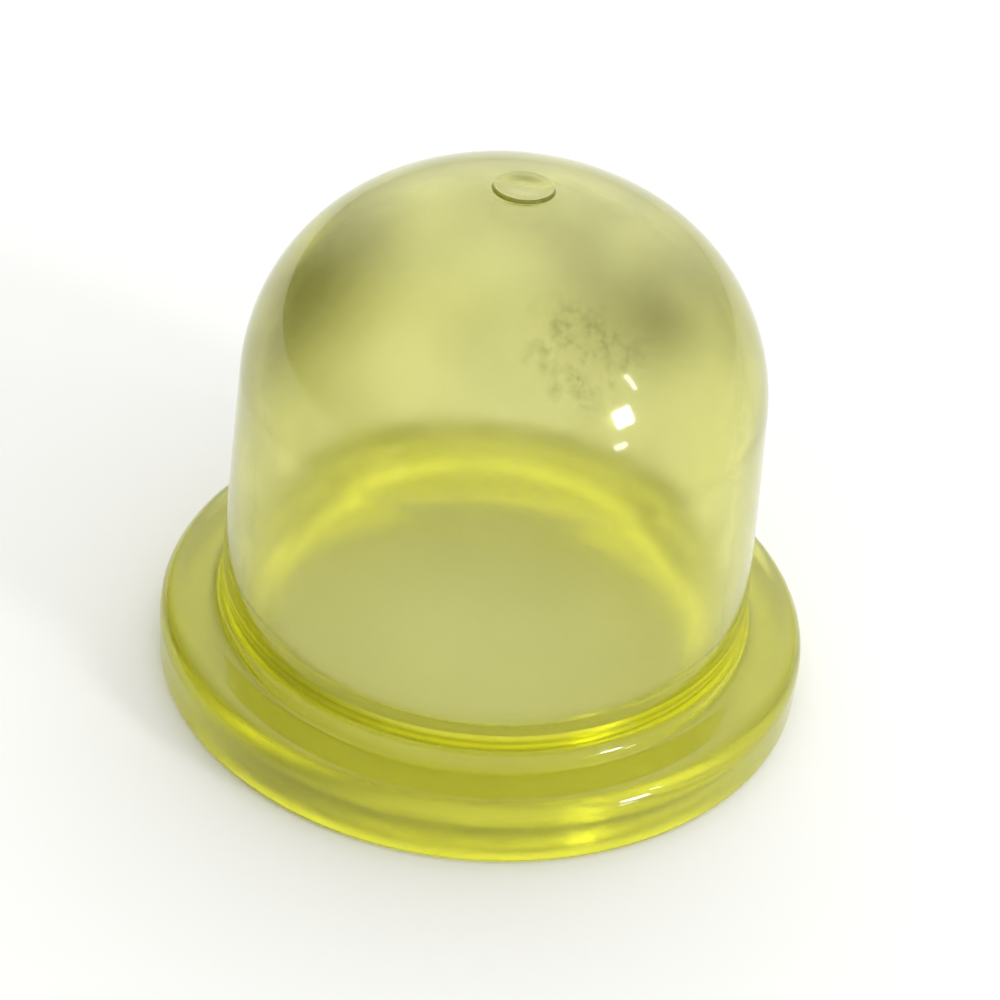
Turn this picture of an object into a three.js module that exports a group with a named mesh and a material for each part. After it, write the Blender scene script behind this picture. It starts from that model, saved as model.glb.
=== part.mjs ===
// A primer bulb: the squeeze dome of a small engine's purge pump, moulded in one
// piece from clear yellow polyurethane. Pressing the crown empties the dome through
// the check valve below its mouth, and the wall springs back and draws fuel in.
//
// Millimetres, +Z up. The origin is the centre of the sealing face, on which the
// flange rests. The section is drawn once, from the outer crown round to the inner
// crown, and turned about the Z axis.

import * as THREE from "three";

// Driving dimensions. Heights are measured up from the sealing face.
const flangeDiameter = 22;
const flangeThickness = 2.3;
const flangeTopRounding = 0.8;
const flangeBottomRounding = 0.25;
const domeBaseDiameter = 18;
const domeHeight = 17.8;
const wallDraftDegrees = 3.4;
const shoulderRadius = 6.9;
const crownRadius = 10;
const wallThickness = 0.8;
const rootFillet = 0.5;
const beadStandIn = 1.13;
const beadHeight = 1.7;
const beadRounding = 1;
const beadFillet = 2;
const mouthFlare = 0.9;
const mouthRounding = 0.25;
const gateBossDiameter = 1.9;
const gateBossHeight = 0.09;
const gateBossRounding = 0.04;
const gateBossFillet = 0.1;
const gateDishDiameter = 1.3;
const gateDishDepth = 0.05;

// Facets: one turn is cut into equal steps, and an arc into steps of about this angle.
const turnSteps = 72;
const broadArcStep = THREE.MathUtils.degToRad(7);
const smallArcStep = THREE.MathUtils.degToRad(24);

const polyurethane = new THREE.MeshStandardMaterial({
  color: 0xcfcf4a,
  roughness: 0.14,
  metalness: 0,
  transparent: true,
  opacity: 0.55,
});

// A point of the section: distance from the axis, height above the sealing face.
const at = (radius, height) => new THREE.Vector2(radius, height);

// Points of an arc from one direction to another, both ends included.
function arc(centre, radius, fromDirection, toDirection, step) {
  const start = fromDirection.angle();
  let sweep = toDirection.angle() - start;
  if (sweep > Math.PI) sweep -= 2 * Math.PI;
  if (sweep < -Math.PI) sweep += 2 * Math.PI;
  const steps = Math.max(2, Math.ceil(Math.abs(sweep) / step));
  return Array.from({ length: steps + 1 }, (_, i) => {
    const angle = start + (sweep * i) / steps;
    return at(centre.x + radius * Math.cos(angle), centre.y + radius * Math.sin(angle));
  });
}

const outward = at(1, 0);
const inward = at(-1, 0);
const upward = at(0, 1);
const downward = at(0, -1);

// The dome's outer wall is a straight line that leans inwards as it rises.
const draft = THREE.MathUtils.degToRad(wallDraftDegrees);
const wallFoot = at(domeBaseDiameter / 2, flangeThickness);
const wallRise = at(-Math.sin(draft), Math.cos(draft));
const wallNormal = at(Math.cos(draft), Math.sin(draft));

// The centre of the crown arc lies on the axis.
const crownCentre = at(0, domeHeight - crownRadius);

// The shoulder arc touches the wall line and lies inside the crown arc, which it
// touches too. Its centre slides along a line parallel to the wall.
function findShoulderCentre() {
  const start = wallFoot.clone().addScaledVector(wallNormal, -shoulderRadius);
  const offset = start.clone().sub(crownCentre);
  const reach = crownRadius - shoulderRadius;
  const along = offset.dot(wallRise);
  const slide = -along + Math.sqrt(along * along - offset.lengthSq() + reach * reach);
  return start.addScaledVector(wallRise, slide);
}
const shoulderCentre = findShoulderCentre();
const shoulderToCrown = shoulderCentre.clone().sub(crownCentre).normalize();

// The wall, shoulder and crown at a depth below the outer skin, from crown to foot.
// The same three centres serve the outer skin and the cavity.
function domeSkin(depth, crownStart) {
  const crown = arc(crownCentre, crownRadius - depth, crownStart, shoulderToCrown, broadArcStep);
  const shoulder = arc(shoulderCentre, shoulderRadius - depth, shoulderToCrown, wallNormal, broadArcStep);
  return [...crown, ...shoulder.slice(1)];
}

// The mark that the gate leaves on the crown: a low round boss with a dished top.
function gateBoss() {
  const radius = gateBossDiameter / 2;
  const top = domeHeight + gateBossHeight;
  const dishRadius = gateDishDiameter / 2;
  const dishArcRadius = (dishRadius ** 2 + gateDishDepth ** 2) / (2 * gateDishDepth);
  const dishCentre = at(0, top - gateDishDepth + dishArcRadius);
  const dishRim = at(dishRadius, top).sub(dishCentre);
  const rimCentre = at(radius - gateBossRounding, top - gateBossRounding);
  const filletCentre = at(radius + gateBossFillet, 0);
  filletCentre.y = crownCentre.y + Math.sqrt((crownRadius + gateBossFillet) ** 2 - filletCentre.x ** 2);
  const seat = filletCentre.clone().sub(crownCentre).normalize();
  return {
    seat,
    points: [
      ...arc(dishCentre, dishArcRadius, downward, dishRim, smallArcStep / 4),
      ...arc(rimCentre, gateBossRounding, upward, outward, smallArcStep * 2),
      ...arc(filletCentre, gateBossFillet, inward, seat.clone().negate(), smallArcStep),
    ],
  };
}

// The flange: a fillet at the foot of the wall, a flat clamping face, a rounded rim
// and the flat sealing face below.
function flange() {
  const radius = flangeDiameter / 2;
  const filletHeight = flangeThickness + rootFillet;
  const slope = Math.tan(draft);
  const filletCentre = at(wallFoot.x - rootFillet * slope + rootFillet / Math.cos(draft), filletHeight);
  const topRim = at(radius - flangeTopRounding, flangeThickness - flangeTopRounding);
  const bottomRim = at(radius - flangeBottomRounding, flangeBottomRounding);
  return [
    ...arc(filletCentre, rootFillet, wallNormal.clone().negate(), downward, smallArcStep),
    ...arc(topRim, flangeTopRounding, upward, outward, smallArcStep),
    ...arc(bottomRim, flangeBottomRounding, outward, downward, smallArcStep),
  ];
}

// The foot of the cavity. A round bead stands in from the cavity's wall, a fillet leads
// up from it to the wall, and a cone flares down from it to the rounded mouth.
function mouth() {
  const beadInset = beadRounding - beadStandIn;
  const beadRise = (beadHeight - wallFoot.y - (beadInset - wallThickness) * wallNormal.y) / wallRise.y;
  const beadCentre = wallFoot.clone().addScaledVector(wallNormal, beadInset - wallThickness);
  beadCentre.addScaledVector(wallRise, beadRise);
  const rimCentre = at(beadCentre.x - beadRounding + mouthFlare, mouthRounding);
  const coneSpan = beadCentre.clone().sub(rimCentre);
  const coneLean = (mouthRounding - beadRounding) / coneSpan.length();
  const coneRise = coneSpan.normalize();
  const coneNormal = at(-coneRise.y, coneRise.x).multiplyScalar(Math.sqrt(1 - coneLean ** 2));
  coneNormal.addScaledVector(coneRise, coneLean);
  const reach = beadRounding + beadFillet;
  const beadLean = (beadInset + beadFillet) / reach;
  const beadEnd = wallRise.clone().multiplyScalar(Math.sqrt(1 - beadLean ** 2));
  beadEnd.addScaledVector(wallNormal, -beadLean);
  const filletCentre = beadCentre.clone().addScaledVector(beadEnd, reach);
  return [
    ...arc(rimCentre, mouthRounding, downward, coneNormal, smallArcStep),
    ...arc(beadCentre, beadRounding, coneNormal, beadEnd, smallArcStep),
    ...arc(filletCentre, beadFillet, beadEnd.clone().negate(), wallNormal, smallArcStep / 2).slice(1),
  ];
}

function bulbSection() {
  const boss = gateBoss();
  const cavity = domeSkin(wallThickness, upward).reverse();
  return [...boss.points, ...domeSkin(0, boss.seat).slice(1), ...flange(), ...mouth(), ...cavity];
}

// LatheGeometry turns about Y, so the turned solid is tipped up onto Z.
function bulb() {
  const section = bulbSection();
  section[0].x = 0;
  section[section.length - 1].x = 0;
  const geometry = new THREE.LatheGeometry(section.reverse(), turnSteps);
  geometry.rotateX(Math.PI / 2);
  const mesh = new THREE.Mesh(geometry, polyurethane);
  mesh.name = "bulb";
  return mesh;
}

const primerBulb = new THREE.Group();
primerBulb.name = "primer_bulb";
primerBulb.add(bulb());

export default primerBulb;
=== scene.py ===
"""The looks of a primer bulb: the clear yellow squeeze dome of a small engine's purge pump.

The bulb is turned from one section, as its mould was, and stands on its flange on a
plain pale floor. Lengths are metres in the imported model's own frame: the origin is the
centre of the flange's underside, and Z runs up the dome's axis.
"""

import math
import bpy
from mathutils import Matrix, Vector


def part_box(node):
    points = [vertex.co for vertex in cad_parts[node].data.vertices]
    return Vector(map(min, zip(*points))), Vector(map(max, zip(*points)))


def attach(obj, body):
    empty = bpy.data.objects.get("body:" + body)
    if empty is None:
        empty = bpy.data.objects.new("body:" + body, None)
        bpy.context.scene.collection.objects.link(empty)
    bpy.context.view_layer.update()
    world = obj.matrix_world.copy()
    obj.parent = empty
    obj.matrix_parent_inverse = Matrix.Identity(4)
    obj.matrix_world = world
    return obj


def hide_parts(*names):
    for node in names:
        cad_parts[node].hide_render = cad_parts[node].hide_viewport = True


bl_info = {
    "name": "Primer Bulb",
    "version": (1, 0, 0),
    "blender": (4, 5, 0),
    "location": "3D View > Sidebar > Primer Bulb",
    "description": "Turns a clear yellow polyurethane primer bulb and sets up a plain studio round it",
    "category": "Add Mesh",
}

import bpy
from bpy.props import FloatProperty, FloatVectorProperty, IntProperty, PointerProperty
from mathutils import Matrix, Vector

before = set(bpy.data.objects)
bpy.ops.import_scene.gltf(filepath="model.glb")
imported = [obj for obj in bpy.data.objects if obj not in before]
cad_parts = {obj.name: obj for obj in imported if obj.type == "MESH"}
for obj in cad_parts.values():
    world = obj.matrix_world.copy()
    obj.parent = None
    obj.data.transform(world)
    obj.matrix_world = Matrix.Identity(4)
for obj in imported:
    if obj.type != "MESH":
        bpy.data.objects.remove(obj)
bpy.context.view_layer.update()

MM = 0.001
NODE = "bulb"
BODY = "root"
CORE_SIDE = "core_side"

LOW_CORNER, HIGH_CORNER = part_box(NODE)
FLANGE_DIAMETER = round(HIGH_CORNER.x - LOW_CORNER.x, 5)
TOTAL_HEIGHT = round(HIGH_CORNER.z - LOW_CORNER.z, 5)

OUTWARD = Vector((1, 0))
INWARD = Vector((-1, 0))
UPWARD = Vector((0, 1))
DOWNWARD = Vector((0, -1))


def linear(code):
    """A colour from its sRGB hex code, as linear red, green and blue."""
    channels = [int(code[place : place + 2], 16) / 255 for place in (0, 2, 4)]
    return tuple(c / 12.92 if c <= 0.04045 else ((c + 0.055) / 1.055) ** 2.4 for c in channels)


def length(name, description, millimetres):
    """A size that a user can change, given in millimetres."""
    return FloatProperty(
        name=name,
        description=description,
        default=millimetres * MM,
        min=0,
        precision=5,
        unit="LENGTH",
        subtype="DISTANCE",
    )


class PrimerBulbSizes(bpy.types.PropertyGroup):
    """The section of the bulb. Heights are measured up from the underside of the flange."""

    flange_diameter: length("Flange Diameter", "Width of the flange across its rim", FLANGE_DIAMETER / MM)
    flange_thickness: length("Flange Thickness", "Height of the clamping face", 2.3)
    flange_top_rounding: length("Top Rounding", "Radius of the rim's upper edge", 0.8)
    flange_bottom_rounding: length("Bottom Rounding", "Radius of the rim's lower edge", 0.25)
    dome_base_diameter: length("Dome Base", "Width of the dome where its wall meets the flange", 18)
    total_height: length("Total Height", "Height over the gate mark", TOTAL_HEIGHT / MM)
    shoulder_radius: length("Shoulder Radius", "Radius between the wall and the crown", 6.9)
    crown_radius: length("Crown Radius", "Radius of the crown", 10)
    wall_thickness: length("Wall Thickness", "Thickness of the wall and the crown", 0.8)
    root_fillet: length("Root Fillet", "Radius between the wall and the flange", 0.5)
    bead_stand_in: length("Bead Stand In", "How far the bead stands in from the cavity's wall", 1.13)
    bead_height: length("Bead Height", "Height of the bead's crest", 1.7)
    bead_rounding: length("Bead Rounding", "Radius of the bead", 1)
    bead_fillet: length("Bead Fillet", "Radius between the bead and the cavity's wall", 2)
    mouth_flare: length("Mouth Flare", "How far the mouth's edge lies outside the bead's crest", 0.9)
    mouth_rounding: length("Mouth Rounding", "Radius of the mouth's edge", 0.25)
    gate_diameter: length("Gate Diameter", "Width of the mark that the gate left on the crown", 1.9)
    gate_height: length("Gate Height", "Height of the gate mark", 0.09)
    gate_rounding: length("Gate Rounding", "Radius of the gate mark's edge", 0.04)
    gate_fillet: length("Gate Fillet", "Radius between the gate mark and the crown", 0.1)
    dish_diameter: length("Dish Diameter", "Width of the dish in the gate mark", 1.3)
    dish_depth: length("Dish Depth", "Depth of the dish in the gate mark", 0.05)
    wall_draft: FloatProperty(
        name="Wall Draft",
        description="Lean of the wall, which lets the bulb out of its mould",
        default=math.radians(3.4),
        unit="ROTATION",
        subtype="ANGLE",
    )
    ring_spacing: length("Ring Spacing", "Distance between the mesh's rings along the section", 0.2)
    turn_steps: IntProperty(
        name="Turn Steps", description="Number of steps in one turn of the section", default=240, min=24
    )


class PrimerBulbFinish(bpy.types.PropertyGroup):
    """The polyurethane that the bulb is moulded from."""

    absorption_colour: FloatVectorProperty(
        name="Tint",
        description="Colour that the light keeps on its way through the wall",
        default=linear("FEFE00"),
        subtype="COLOR",
        min=0,
        max=1,
    )
    absorption_density: FloatProperty(
        name="Tint Density", description="Absorption for each metre of the way", default=610, min=0
    )
    haze_colour: FloatVectorProperty(
        name="Haze",
        description="Colour of the faint milkiness inside the wall",
        default=linear("FFFFF3"),
        subtype="COLOR",
        min=0,
        max=1,
    )
    haze_density: FloatProperty(
        name="Haze Density", description="Scattering for each metre of the way", default=90, min=0
    )
    refraction: FloatProperty(
        name="Refractive Index", description="Refractive index of cast polyurethane", default=1.5, min=1
    )
    show_roughness: FloatProperty(
        name="Outer Roughness",
        description="Roughness of the skin outside, where the mould is polished",
        default=0.07,
        min=0,
        max=1,
        subtype="FACTOR",
    )
    core_roughness: FloatProperty(
        name="Inner Roughness",
        description="Roughness of the cavity and the underside, where the mould's core is left matt",
        default=0.17,
        min=0,
        max=1,
        subtype="FACTOR",
    )
    # Painted shade: an uneven grey tint, strongest on the crown, that darkens the top of the dome as shade
    # would.
    painted_shade: FloatProperty(
        name="Film",
        description="Strength of the dull film that thumb and fuel leave, thickest on the crown",
        default=0.42,
        min=0,
        max=1,
        subtype="FACTOR",
    )
    # Painted shade: the tint's extra strength in patches on the limbs of both shoulders.
    shoulder_shade: FloatProperty(
        name="Grip Film",
        description="Strength that is added to the film where fingers grip the shoulder",
        default=0.5,
        min=0,
        max=1,
        subtype="FACTOR",
    )
    # Middles of the painted shade's patches on the left and right shoulders.
    left_shade_place: FloatVectorProperty(
        name="Left Grip",
        description="Middle of the film on the left shoulder",
        default=(-6.8 * MM, -1.5 * MM, 14.6 * MM),
        precision=5,
        unit="LENGTH",
        subtype="TRANSLATION",
    )
    right_shade_place: FloatVectorProperty(
        name="Right Grip",
        description="Middle of the film on the right shoulder",
        default=(4.6 * MM, -2 * MM, 16.3 * MM),
        precision=5,
        unit="LENGTH",
        subtype="TRANSLATION",
    )
    flecks: FloatProperty(
        name="Flecks",
        description="Strength of the grey flecks in the smudge",
        default=0.42,
        min=0,
        max=1,
        subtype="FACTOR",
    )
    # The grey of the smudge's flecks, which are real dirt, and of the painted shade.
    smudge_and_shade_colour: FloatVectorProperty(
        name="Smudge",
        description="Colour of the film and the flecks",
        default=linear("8C8A64"),
        subtype="COLOR",
        min=0,
        max=1,
    )
    smudge_place: FloatVectorProperty(
        name="Smudge Place",
        description="Middle of the smudge on the shoulder",
        default=(2.2 * MM, -5.7 * MM, 15.6 * MM),
        precision=5,
        unit="LENGTH",
        subtype="TRANSLATION",
    )


class PrimerBulbStudio(bpy.types.PropertyGroup):
    """The floor, the light and the camera."""

    floor_colour: FloatVectorProperty(
        name="Floor",
        description="Colour of the floor",
        default=linear("F4F4F2"),
        subtype="COLOR",
        min=0,
        max=1,
    )
    dark_brightness: FloatProperty(
        name="Dark Side", description="Brightness of the surround where it is darkest", default=0.2, min=0
    )
    light_brightness: FloatProperty(
        name="Light Side", description="Brightness of the surround where it is lightest", default=1.2, min=0
    )
    light_azimuth: FloatProperty(
        name="Light Azimuth",
        description="Turn of the surround's light side from the front towards the right",
        default=math.radians(40),
        unit="ROTATION",
        subtype="ANGLE",
    )
    glow_brightness: FloatProperty(
        name="Glow", description="Brightness of the glow high up behind the bulb", default=1.4, min=0
    )
    glow_elevation: FloatProperty(
        name="Glow Elevation",
        description="Height of the middle of the glow above the horizon",
        default=math.radians(40),
        unit="ROTATION",
        subtype="ANGLE",
    )
    glow_reach: FloatProperty(
        name="Glow Reach",
        description="Angle from the middle of the glow to where it has faded out",
        default=math.radians(58),
        unit="ROTATION",
        subtype="ANGLE",
    )
    camera_distance: length("Camera Distance", "Distance from the camera to the middle of the dome", 78.1)
    camera_elevation: FloatProperty(
        name="Camera Elevation",
        description="Angle at which the camera looks down",
        default=math.radians(34.26),
        unit="ROTATION",
        subtype="ANGLE",
    )
    camera_aim: FloatVectorProperty(
        name="Camera Aim",
        description="Point that the camera looks at",
        default=(0.23 * MM, 0, 6.1 * MM),
        precision=5,
        unit="LENGTH",
        subtype="TRANSLATION",
    )
    camera_roll: FloatProperty(
        name="Camera Roll",
        description="Turn of the picture about its middle",
        default=math.radians(5.76),
        unit="ROTATION",
        subtype="ANGLE",
    )
    camera_lens: FloatProperty(name="Lens", description="Focal length in millimetres", default=85.53, min=1)


# The section of the bulb

# One step of an arc turns by this much at the most.
BROADEST_ARC_STEP = math.radians(8)

# A straight run that is divided gets this many steps more than its length asks for.
EXTRA_RUN_STEPS = 2


def arc(centre, radius, from_direction, to_direction, spacing):
    """Points of an arc from one direction to another, both ends included."""
    start = math.atan2(from_direction.y, from_direction.x)
    sweep = math.atan2(to_direction.y, to_direction.x) - start
    sweep = (sweep + math.pi) % math.tau - math.pi
    steps_for_turn = math.ceil(abs(sweep) / BROADEST_ARC_STEP)
    steps_for_length = math.ceil(abs(sweep) * radius / spacing)
    steps = max(2, steps_for_turn, steps_for_length)
    turns = [start + sweep * step / steps for step in range(steps + 1)]
    return [centre + radius * Vector((math.cos(turn), math.sin(turn))) for turn in turns]


class DomeSkin:
    """The wall, shoulder and crown. The same three centres serve the outer skin and the cavity."""

    def __init__(self, sizes):
        self.sizes = sizes
        draft = sizes.wall_draft
        self.foot = Vector((sizes.dome_base_diameter / 2, sizes.flange_thickness))
        self.rise = Vector((-math.sin(draft), math.cos(draft)))
        self.normal = Vector((math.cos(draft), math.sin(draft)))
        self.crown_centre = Vector((0, sizes.total_height - sizes.gate_height - sizes.crown_radius))
        self.shoulder_centre = self.find_shoulder_centre()
        self.shoulder_to_crown = (self.shoulder_centre - self.crown_centre).normalized()

    def find_shoulder_centre(self):
        """The shoulder arc touches the wall line and the crown arc that it lies in."""
        start = self.foot - self.normal * self.sizes.shoulder_radius
        offset = start - self.crown_centre
        reach = self.sizes.crown_radius - self.sizes.shoulder_radius
        along = offset.dot(self.rise)
        slide = -along + math.sqrt(along**2 - offset.length_squared + reach**2)
        return start + self.rise * slide

    def points(self, depth, crown_start):
        """The skin at a depth below the outer one, from the crown to the foot of the shoulder."""
        spacing = self.sizes.ring_spacing
        crown_radius = self.sizes.crown_radius - depth
        shoulder_radius = self.sizes.shoulder_radius - depth
        crown = arc(self.crown_centre, crown_radius, crown_start, self.shoulder_to_crown, spacing)
        shoulder = arc(self.shoulder_centre, shoulder_radius, self.shoulder_to_crown, self.normal, spacing)
        return crown + shoulder[1:]


def gate_mark(sizes, skin):
    """The low round mark of the gate, with a dished top, and where its fillet meets the crown."""
    spacing = sizes.ring_spacing
    radius = sizes.gate_diameter / 2
    dish_radius = sizes.dish_diameter / 2
    dish_arc_radius = (dish_radius**2 + sizes.dish_depth**2) / (2 * sizes.dish_depth)
    dish_centre = Vector((0, sizes.total_height - sizes.dish_depth + dish_arc_radius))
    dish_rim = Vector((dish_radius, sizes.total_height)) - dish_centre
    rim_centre = Vector((radius - sizes.gate_rounding, sizes.total_height - sizes.gate_rounding))
    fillet_out = radius + sizes.gate_fillet
    fillet_up = math.sqrt((sizes.crown_radius + sizes.gate_fillet) ** 2 - fillet_out**2)
    fillet_centre = Vector((fillet_out, skin.crown_centre.y + fillet_up))
    seat = (fillet_centre - skin.crown_centre).normalized()
    points = arc(dish_centre, dish_arc_radius, DOWNWARD, dish_rim, spacing)
    points += arc(rim_centre, sizes.gate_rounding, UPWARD, OUTWARD, spacing)
    points += arc(fillet_centre, sizes.gate_fillet, INWARD, -seat, spacing)
    return points, seat


def flange(sizes, skin):
    """The root fillet, the flat clamping face, the rounded rim and the flat underside."""
    spacing = sizes.ring_spacing
    radius = sizes.flange_diameter / 2
    slope = math.tan(sizes.wall_draft)
    fillet_out = skin.foot.x - sizes.root_fillet * slope + sizes.root_fillet / math.cos(sizes.wall_draft)
    fillet_centre = Vector((fillet_out, sizes.flange_thickness + sizes.root_fillet))
    top_rim = Vector((radius, sizes.flange_thickness)) - Vector((1, 1)) * sizes.flange_top_rounding
    bottom_rim = Vector((radius, 0)) + Vector((-1, 1)) * sizes.flange_bottom_rounding
    points = arc(fillet_centre, sizes.root_fillet, -skin.normal, DOWNWARD, spacing)
    points += arc(top_rim, sizes.flange_top_rounding, UPWARD, OUTWARD, spacing)
    points += arc(bottom_rim, sizes.flange_bottom_rounding, OUTWARD, DOWNWARD, spacing)
    return points


def mouth(sizes, skin):
    """The rounded mouth, the cone above it, and the bead that a fillet leads back to the wall."""
    spacing = sizes.ring_spacing
    inset = sizes.bead_rounding - sizes.bead_stand_in
    depth = inset - sizes.wall_thickness
    climb = (sizes.bead_height - skin.foot.y - depth * skin.normal.y) / skin.rise.y
    bead_centre = skin.foot + skin.normal * depth + skin.rise * climb
    rim_centre = Vector((bead_centre.x - sizes.bead_rounding + sizes.mouth_flare, sizes.mouth_rounding))
    cone = bead_centre - rim_centre
    cone_lean = (sizes.mouth_rounding - sizes.bead_rounding) / cone.length
    cone_rise = cone.normalized()
    cone_normal = Vector((-cone_rise.y, cone_rise.x)) * math.sqrt(1 - cone_lean**2) + cone_rise * cone_lean
    reach = sizes.bead_rounding + sizes.bead_fillet
    lean = (inset + sizes.bead_fillet) / reach
    bead_end = skin.rise * math.sqrt(1 - lean**2) - skin.normal * lean
    fillet_centre = bead_centre + bead_end * reach
    points = arc(rim_centre, sizes.mouth_rounding, DOWNWARD, cone_normal, spacing)
    points += arc(bead_centre, sizes.bead_rounding, cone_normal, bead_end, spacing)
    points += arc(fillet_centre, sizes.bead_fillet, -bead_end, skin.normal, spacing)[1:]
    return points


def bulb_section(sizes):
    """The section in two runs: the show side down to the rim, and the core side up to the crown."""
    skin = DomeSkin(sizes)
    gate_points, seat = gate_mark(sizes, skin)
    show_side = gate_points + skin.points(0, seat)[1:] + flange(sizes, skin)
    core_side = mouth(sizes, skin) + skin.points(sizes.wall_thickness, UPWARD)[::-1]
    show_side[0].x = 0
    core_side[-1].x = 0
    show_rings = divide_long_runs(show_side, sizes.ring_spacing)
    core_rings = divide_long_runs(show_side[-1:] + core_side, sizes.ring_spacing)[1:]
    return show_rings, core_rings


def divide_long_runs(points, spacing):
    """Rings along the straight runs. They crowd to both ends, so that the shading stays true there."""
    divided = points[:1]
    for start, end in zip(points[:-1], points[1:]):
        steps = max(1, math.ceil((end - start).length / spacing))
        if steps > 1:
            steps += EXTRA_RUN_STEPS
        shares = [0.5 - 0.5 * math.cos(math.pi * step / steps) for step in range(1, steps + 1)]
        divided += [start.lerp(end, share) for share in shares]
    return divided


def turned_mesh(name, show_rings, core_rings, steps):
    """A closed mesh from a section whose two ends lie on the axis.

    An attribute notes for each point which side of the mould made it.
    """
    section = show_rings + core_rings
    turns = [math.tau * step / steps for step in range(steps)]
    vertices = []
    rings = []
    for point in section:
        first = len(vertices)
        if point.x == 0:
            rings.append([first] * steps)
            vertices.append((0, 0, point.y))
        else:
            rings.append(range(first, first + steps))
            vertices += [(point.x * math.cos(turn), point.x * math.sin(turn), point.y) for turn in turns]
    faces = []
    for upper, lower in zip(rings[:-1], rings[1:]):
        for step in range(steps):
            following = (step + 1) % steps
            corners = (upper[step], lower[step], lower[following], upper[following])
            faces.append(tuple(dict.fromkeys(corners)))
    mesh = bpy.data.meshes.new(name)
    mesh.from_pydata(vertices, [], faces)
    mesh.polygons.foreach_set("use_smooth", [True] * len(faces))
    first_core_vertex = rings[len(show_rings)][0]
    core_share = [float(index >= first_core_vertex) for index in range(len(vertices))]
    mesh.attributes.new(CORE_SIDE, "FLOAT", "POINT").data.foreach_set("value", core_share)
    mesh.update()
    return mesh


# The materials

# Breadth of one cloud in the painted shade, one fleck, one wave of the skin and one handled patch.
CLOUD_SIZE = 5 * MM
FLECK_SIZE = 0.8 * MM
WAVE_SIZE = 3 * MM
HANDLED_SIZE = 1.5 * MM

# Height of the skin's waves.
WAVE_HEIGHT = 0.05 * MM

# The painted shade is strongest above the upper of these heights. Below the lower one it is as many
# times weaker as the last number says.
SHADE_TOP = 15 * MM
SHADE_FOOT = 7 * MM
SHADE_THINNING = 6

# A patch, of painted shade on a shoulder or of smudge, is full as far as its first radius and has faded out
# at its second.
SHADE_PATCH_RADII = (1 * MM, 5.5 * MM)
SMUDGE_RADII = (0.8 * MM, 2.4 * MM)

# Real card has a finer tooth. It is drawn coarser, so that it shows.
TOOTH_SIZE = 0.4 * MM
TOOTH_HEIGHT = 0.02 * MM


def add_node(tree, kind, settings=None, values=None, links=None):
    """Adds one node with its settings, its sockets' values and the links that feed its sockets."""
    node = tree.nodes.new(kind)
    for name, setting in (settings or {}).items():
        setattr(node, name, setting)
    for socket, value in (values or {}).items():
        node.inputs[socket].default_value = value
    for socket, source in (links or {}).items():
        tree.links.new(source, node.inputs[socket])
    return node


def new_material(name):
    """An empty node material and its output node."""
    material = bpy.data.materials.new(name)
    material.use_nodes = True
    material.node_tree.nodes.clear()
    output = add_node(material.node_tree, "ShaderNodeOutputMaterial")
    return material, material.node_tree, output


def soft_patch(tree, place, middle, full_radius, faded_radius):
    """A round patch that is full near its middle and fades out."""
    distance = add_node(
        tree,
        "ShaderNodeVectorMath",
        settings={"operation": "DISTANCE"},
        values={1: tuple(middle)},
        links={0: place},
    )
    patch = add_node(
        tree,
        "ShaderNodeMapRange",
        settings={"interpolation_type": "SMOOTHSTEP"},
        values={"From Min": full_radius, "From Max": faded_radius, "To Min": 1, "To Max": 0},
        links={"Value": distance.outputs["Value"]},
    )
    return patch.outputs[0]


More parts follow.
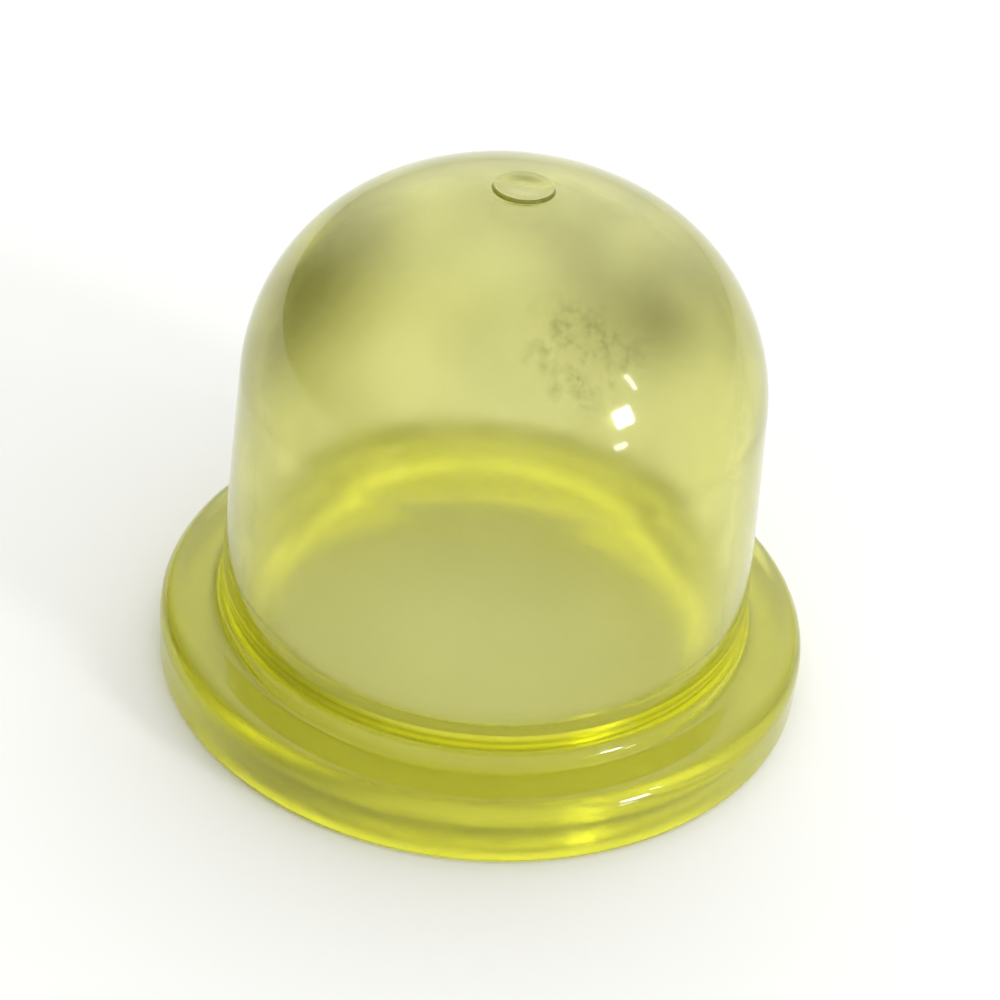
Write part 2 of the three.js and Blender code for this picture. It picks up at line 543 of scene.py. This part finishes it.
def moulded_polyurethane(finish):
    """Clear polyurethane, moulded and dyed through.

    The dye takes out the blue, so thin walls look pale lime and thick ones deep yellow.
    A faint haze inside makes the thick foot glow. The mould leaves a smooth, slightly
    wavy skin, and handling leaves it a little duller in patches. An uneven grey tint is
    painted shade: strongest on the crown and on the limbs of both shoulders, it darkens
    them as shade would. A smudge of grey flecks, real dirt, sits on the front of the shoulder.
    """
    material, tree, output = new_material("moulded_clear_polyurethane")
    place = add_node(tree, "ShaderNodeTexCoord").outputs["Object"]
    clouds = add_node(
        tree,
        "ShaderNodeTexNoise",
        values={"Scale": 1 / CLOUD_SIZE, "Detail": 1, "Roughness": 0.5},
        links={"Vector": place},
    )
    cloud_share = add_node(
        tree,
        "ShaderNodeMapRange",
        values={"From Min": 0.35, "From Max": 0.65, "To Min": 0.4, "To Max": 1},
        links={"Value": clouds.outputs[0]},
    )
    height = add_node(tree, "ShaderNodeSeparateXYZ", links={"Vector": place})
    # Painted shade: the grey tint grows from the foot of the dome towards the crown.
    crown_shade_share = add_node(
        tree,
        "ShaderNodeMapRange",
        settings={"interpolation_type": "SMOOTHSTEP"},
        values={
            "From Min": SHADE_FOOT,
            "From Max": SHADE_TOP,
            "To Min": finish.painted_shade / SHADE_THINNING,
            "To Max": finish.painted_shade,
        },
        links={"Value": height.outputs["Z"]},
    )
    # Painted shade in patches on the limbs of both shoulders.
    left_shade_patch = soft_patch(tree, place, finish.left_shade_place, *SHADE_PATCH_RADII)
    right_shade_patch = soft_patch(tree, place, finish.right_shade_place, *SHADE_PATCH_RADII)
    shoulder_shade_patches = add_node(
        tree,
        "ShaderNodeMath",
        settings={"operation": "ADD"},
        links={0: left_shade_patch, 1: right_shade_patch},
    )
    shade_strength = add_node(
        tree,
        "ShaderNodeMath",
        settings={"operation": "MULTIPLY_ADD"},
        values={1: finish.shoulder_shade},
        links={0: shoulder_shade_patches.outputs[0], 2: crown_shade_share.outputs[0]},
    )
    # The painted shade, made uneven by the clouds.
    painted_shade = add_node(
        tree,
        "ShaderNodeMath",
        settings={"operation": "MULTIPLY"},
        links={0: cloud_share.outputs[0], 1: shade_strength.outputs[0]},
    )
    specks = add_node(
        tree,
        "ShaderNodeTexNoise",
        values={"Scale": 1 / FLECK_SIZE, "Detail": 4, "Roughness": 0.65},
        links={"Vector": place},
    )
    speck_share = add_node(
        tree,
        "ShaderNodeMapRange",
        values={"From Min": 0.5, "From Max": 0.68, "To Min": 0, "To Max": finish.flecks},
        links={"Value": specks.outputs[0]},
    )
    smudge = soft_patch(tree, place, finish.smudge_place, *SMUDGE_RADII)
    # The smudge's flecks of real dirt, added to the painted shade.
    flecks = add_node(
        tree,
        "ShaderNodeMath",
        settings={"operation": "MULTIPLY_ADD"},
        links={0: speck_share.outputs[0], 1: smudge, 2: painted_shade.outputs[0]},
    )
    # White tint, greyed by the flecks and by the painted shade.
    tone = add_node(
        tree,
        "ShaderNodeMix",
        settings={"data_type": "RGBA"},
        values={"A": (1, 1, 1, 1), "B": (*finish.smudge_and_shade_colour, 1)},
        links={"Factor": flecks.outputs[0]},
    )
    waves = add_node(
        tree,
        "ShaderNodeTexNoise",
        values={"Scale": 1 / WAVE_SIZE, "Detail": 1, "Roughness": 0.4},
        links={"Vector": place},
    )
    bump = add_node(
        tree,
        "ShaderNodeBump",
        values={"Strength": 0.15, "Distance": WAVE_HEIGHT},
        links={"Height": waves.outputs[0]},
    )
    handling = add_node(
        tree,
        "ShaderNodeTexNoise",
        values={"Scale": 1 / HANDLED_SIZE, "Detail": 2, "Roughness": 0.6},
        links={"Vector": place},
    )
    core_side = add_node(tree, "ShaderNodeAttribute", settings={"attribute_name": CORE_SIDE})
    side_roughness = add_node(
        tree,
        "ShaderNodeMapRange",
        values={"To Min": finish.show_roughness, "To Max": finish.core_roughness},
        links={"Value": core_side.outputs["Fac"]},
    )
    handling_share = add_node(
        tree,
        "ShaderNodeMapRange",
        values={"From Min": 0.35, "From Max": 0.7, "To Min": 0.8, "To Max": 1.4},
        links={"Value": handling.outputs[0]},
    )
    roughness = add_node(
        tree,
        "ShaderNodeMath",
        settings={"operation": "MULTIPLY"},
        links={0: side_roughness.outputs[0], 1: handling_share.outputs[0]},
    )
    skin = add_node(
        tree,
        "ShaderNodeBsdfPrincipled",
        values={"IOR": finish.refraction, "Transmission Weight": 1},
        links={
            "Base Color": tone.outputs["Result"],
            "Roughness": roughness.outputs[0],
            "Normal": bump.outputs[0],
        },
    )
    dye = add_node(
        tree,
        "ShaderNodeVolumeAbsorption",
        values={"Color": (*finish.absorption_colour, 1), "Density": finish.absorption_density},
    )
    haze = add_node(
        tree,
        "ShaderNodeVolumeScatter",
        values={"Color": (*finish.haze_colour, 1), "Density": finish.haze_density},
    )
    body = add_node(tree, "ShaderNodeAddShader", links={0: dye.outputs[0], 1: haze.outputs[0]})
    tree.links.new(skin.outputs[0], output.inputs["Surface"])
    tree.links.new(body.outputs[0], output.inputs["Volume"])
    return material


def matt_card(colour):
    """Pale matt card, as a photographer lays under a small part: no gloss and a faint tooth."""
    material, tree, output = new_material("matt_pale_card")
    place = add_node(tree, "ShaderNodeTexCoord").outputs["Object"]
    tooth = add_node(
        tree,
        "ShaderNodeTexNoise",
        values={"Scale": 1 / TOOTH_SIZE, "Detail": 3},
        links={"Vector": place},
    )
    bump = add_node(
        tree,
        "ShaderNodeBump",
        values={"Strength": 0.1, "Distance": TOOTH_HEIGHT},
        links={"Height": tooth.outputs[0]},
    )
    card = add_node(
        tree,
        "ShaderNodeBsdfPrincipled",
        values={"Base Color": (*colour, 1), "Roughness": 0.9},
        links={"Normal": bump.outputs[0]},
    )
    tree.links.new(card.outputs[0], output.inputs["Surface"])
    return material


# The studio

# Half the floor's width, and how far it lies below the flange.
FLOOR_HALF = 0.6
FLOOR_DROP = 0.03 * MM

# Distance of the window, and the height of the point that its panes face.
WINDOW_DISTANCE = 0.5
WINDOW_AIM_HEIGHT = 9 * MM

# The surround is darkest and lightest where the cosine of the angle from its light side
# is minus and plus this.
SIDE_BLEND = 0.9

# Height on the axis from which the camera's distance is measured.
DOME_MIDDLE_HEIGHT = 8 * MM

# How many times light is followed on through surfaces, and on through the haze.
SURFACE_BOUNCES = 14
HAZE_BOUNCES = 3


def aim(direction):
    """The turn that points an object's own -Z along a direction."""
    return direction.to_track_quat("-Z", "Y")


def add_floor(studio):
    """A pale floor, a hair below the flange so that the two faces don't share one plane."""
    sides = ((-1, -1), (1, -1), (1, 1), (-1, 1))
    corners = [(x * FLOOR_HALF, y * FLOOR_HALF, -FLOOR_DROP) for x, y in sides]
    mesh = bpy.data.meshes.new("floor")
    mesh.from_pydata(corners, [], [(0, 1, 2, 3)])
    mesh.materials.append(matt_card(studio.floor_colour))
    floor = bpy.data.objects.new("floor", mesh)
    bpy.context.scene.collection.objects.link(floor)


def add_pane(name, azimuth, elevation, width, height, brightness):
    """A rectangular light that faces the bulb from an azimuth and an elevation in degrees.

    Its azimuth runs from the front towards the right. Its brightness is that of its face,
    as the surround's is, and the power follows from it.
    """
    centre = Vector((0, 0, WINDOW_AIM_HEIGHT))
    azimuth = math.radians(azimuth)
    elevation = math.radians(elevation)
    level = math.cos(elevation)
    back = Vector((math.sin(azimuth) * level, -math.cos(azimuth) * level, math.sin(elevation)))
    data = bpy.data.lights.new(name, "AREA")
    data.shape = "RECTANGLE"
    data.size = width
    data.size_y = height
    data.energy = brightness * math.pi * width * height
    light = bpy.data.objects.new(name, data)
    light.location = centre + back * WINDOW_DISTANCE
    light.rotation_mode = "QUATERNION"
    light.rotation_quaternion = aim(-back)
    bpy.context.scene.collection.objects.link(light)


def add_window():
    """What shows of a window at the right, in front: a broad pane, and narrow ones above and below."""
    add_pane("middle_pane", azimuth=57, elevation=24, width=0.07, height=0.07, brightness=34)
    add_pane("upper_pane", azimuth=69, elevation=36, width=0.015, height=0.07, brightness=20)
    add_pane("lower_pane", azimuth=52, elevation=12, width=0.05, height=0.02, brightness=20)


def set_surround(studio):
    """Soft white light from all round: dim behind at the left, light in front at the right.

    A broad glow stands high up behind the bulb.
    """
    world = bpy.data.worlds.new("studio_surround")
    world.use_nodes = True
    tree = world.node_tree
    direction = add_node(tree, "ShaderNodeTexCoord").outputs["Generated"]
    across = add_node(
        tree,
        "ShaderNodeVectorMath",
        settings={"operation": "DOT_PRODUCT"},
        values={1: (math.sin(studio.light_azimuth), -math.cos(studio.light_azimuth), 0)},
        links={0: direction},
    )
    sides = add_node(
        tree,
        "ShaderNodeMapRange",
        settings={"interpolation_type": "SMOOTHSTEP"},
        values={
            "From Min": -SIDE_BLEND,
            "From Max": SIDE_BLEND,
            "To Min": studio.dark_brightness,
            "To Max": studio.light_brightness,
        },
        links={"Value": across.outputs["Value"]},
    )
    height = studio.glow_elevation
    towards_glow = add_node(
        tree,
        "ShaderNodeVectorMath",
        settings={"operation": "DOT_PRODUCT"},
        values={1: (0, math.cos(height), math.sin(height))},
        links={0: direction},
    )
    glow = add_node(
        tree,
        "ShaderNodeMapRange",
        settings={"interpolation_type": "SMOOTHSTEP"},
        values={"From Min": math.cos(studio.glow_reach), "To Max": studio.glow_brightness},
        links={"Value": towards_glow.outputs["Value"]},
    )
    light = add_node(
        tree,
        "ShaderNodeMath",
        settings={"operation": "ADD"},
        links={0: sides.outputs[0], 1: glow.outputs[0]},
    )
    background = tree.nodes["Background"]
    background.inputs["Color"].default_value = (1, 1, 1, 1)
    tree.links.new(light.outputs[0], background.inputs["Strength"])
    bpy.context.scene.world = world


def add_camera(studio):
    """The camera at the photograph's viewing angle."""
    middle = Vector((0, 0, DOME_MIDDLE_HEIGHT))
    level = math.cos(studio.camera_elevation)
    back = Vector((0, -level, math.sin(studio.camera_elevation)))
    data = bpy.data.cameras.new("camera")
    data.sensor_width = 36
    data.lens = studio.camera_lens
    data.clip_start = 1 * MM
    camera = bpy.data.objects.new("camera", data)
    camera.location = middle + back * studio.camera_distance
    camera.rotation_mode = "QUATERNION"
    roll = Matrix.Rotation(studio.camera_roll, 3, "Z").to_quaternion()
    camera.rotation_quaternion = aim(Vector(studio.camera_aim) - camera.location) @ roll
    bpy.context.scene.collection.objects.link(camera)
    bpy.context.scene.camera = camera


def set_picture():
    """Plain tones, and enough bounces for the light that wanders inside the wall."""
    scene = bpy.context.scene
    scene.view_settings.view_transform = "Standard"
    scene.cycles.max_bounces = SURFACE_BOUNCES
    scene.cycles.transmission_bounces = SURFACE_BOUNCES
    scene.cycles.volume_bounces = HAZE_BOUNCES


# Operators and panel


class PRIMERBULB_OT_bulb(bpy.types.Operator):
    """Turn the bulb's section and give it its polyurethane"""

    bl_idname = "primer_bulb.bulb"
    bl_label = "Bulb"

    def execute(self, context):
        sizes = context.scene.primer_bulb_sizes
        show_rings, core_rings = bulb_section(sizes)
        mesh = turned_mesh("bulb_moulding", show_rings, core_rings, sizes.turn_steps)
        mesh.materials.append(moulded_polyurethane(context.scene.primer_bulb_finish))
        piece = bpy.data.objects.new("bulb_moulding", mesh)
        context.scene.collection.objects.link(piece)
        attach(piece, BODY)
        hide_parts(NODE)
        return {"FINISHED"}


class PRIMERBULB_OT_stage(bpy.types.Operator):
    """Lay the floor and place the lights and the camera"""

    bl_idname = "primer_bulb.stage"
    bl_label = "Stage"

    def execute(self, context):
        studio = context.scene.primer_bulb_studio
        add_floor(studio)
        set_surround(studio)
        add_window()
        add_camera(studio)
        set_picture()
        return {"FINISHED"}


class PRIMERBULB_PT_panel(bpy.types.Panel):
    """The bulb's operators and settings"""

    bl_idname = "PRIMERBULB_PT_panel"
    bl_label = "Primer Bulb"
    bl_space_type = "VIEW_3D"
    bl_region_type = "UI"
    bl_category = "Primer Bulb"

    def draw(self, context):
        for operator in (PRIMERBULB_OT_bulb, PRIMERBULB_OT_stage):
            self.layout.operator(operator.bl_idname)
        for group in (
            context.scene.primer_bulb_sizes,
            context.scene.primer_bulb_finish,
            context.scene.primer_bulb_studio,
        ):
            box = self.layout.box()
            for name in group.__annotations__:
                box.prop(group, name)


CLASSES = (
    PrimerBulbSizes,
    PrimerBulbFinish,
    PrimerBulbStudio,
    PRIMERBULB_OT_bulb,
    PRIMERBULB_OT_stage,
    PRIMERBULB_PT_panel,
)


def register():
    for cls in CLASSES:
        bpy.utils.register_class(cls)
    bpy.types.Scene.primer_bulb_sizes = PointerProperty(type=PrimerBulbSizes)
    bpy.types.Scene.primer_bulb_finish = PointerProperty(type=PrimerBulbFinish)
    bpy.types.Scene.primer_bulb_studio = PointerProperty(type=PrimerBulbStudio)


def unregister():
    del bpy.types.Scene.primer_bulb_studio
    del bpy.types.Scene.primer_bulb_finish
    del bpy.types.Scene.primer_bulb_sizes
    for cls in reversed(CLASSES):
        bpy.utils.unregister_class(cls)


def main():
    register()
    bpy.ops.primer_bulb.bulb()
    bpy.ops.primer_bulb.stage()


if __name__ == "__main__":
    main()
